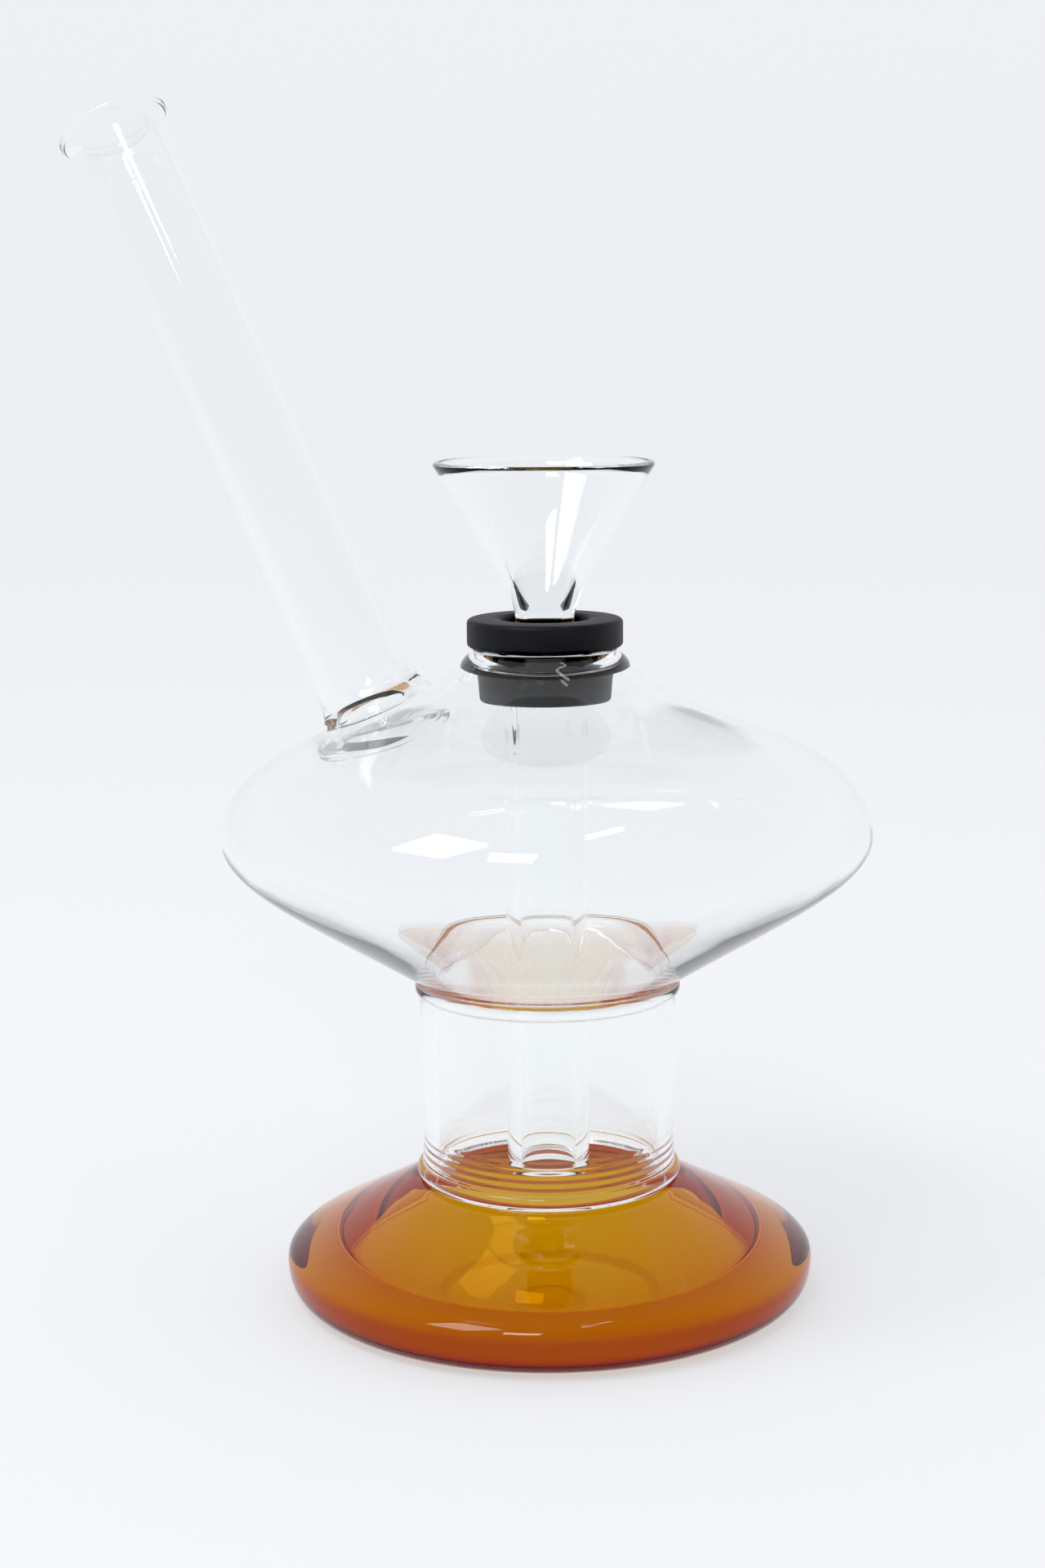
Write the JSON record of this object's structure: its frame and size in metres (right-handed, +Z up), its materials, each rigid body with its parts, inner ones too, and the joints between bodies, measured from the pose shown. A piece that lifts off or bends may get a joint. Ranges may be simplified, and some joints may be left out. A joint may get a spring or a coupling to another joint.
{
  "type": "glass water pipe",
  "caption": "Small flame-worked glass water pipe with amber foot, saucer chamber, leaning mouthpiece and a lift-out bowl slide in a rubber grommet.",
  "frame": {"origin": "middle of the foot's flat underside, on the vessel's axis", "axes": "+Z up along the vessel's axis, which is also the axis of the slide; the mouthpiece leans up toward -X and +Y; +X and +Y complete a right-handed frame"},
  "size_m": [0.1217, 0.1021, 0.1764],
  "materials": {
    "clear_glass": "clear polished borosilicate glass",
    "amber_glass": "deep amber borosilicate glass, fire polished",
    "black_rubber": "matt moulded rubber"
  },
  "bodies": {
    "vessel": {"base_foot": "amber_glass", "foot_seam_ring": "clear_glass", "neck_tube": "clear_glass", "chamber_seam_ring": "clear_glass", "saucer_chamber": "clear_glass", "collar_lip": "clear_glass", "mouthpiece_bead": "clear_glass", "mouthpiece_tube": "clear_glass", "mouthpiece_flare": "clear_glass"},
    "grommet": {"rubber_grommet": "black_rubber"},
    "slide": {"downstem_tube": "clear_glass", "bowl_cone": "clear_glass"}
  },
  "joints": [
    {"name": "slide_turn", "type": "hinge", "parent": "vessel", "child": "grommet", "pos_m": [0, 0, 0.0937], "axis": [0, 0, 1], "continuous": true},
    {"name": "slide_lift", "type": "slide", "parent": "grommet", "child": "slide", "axis": [0, 0, 1], "range_m": [0, 0.085]}
  ]
}
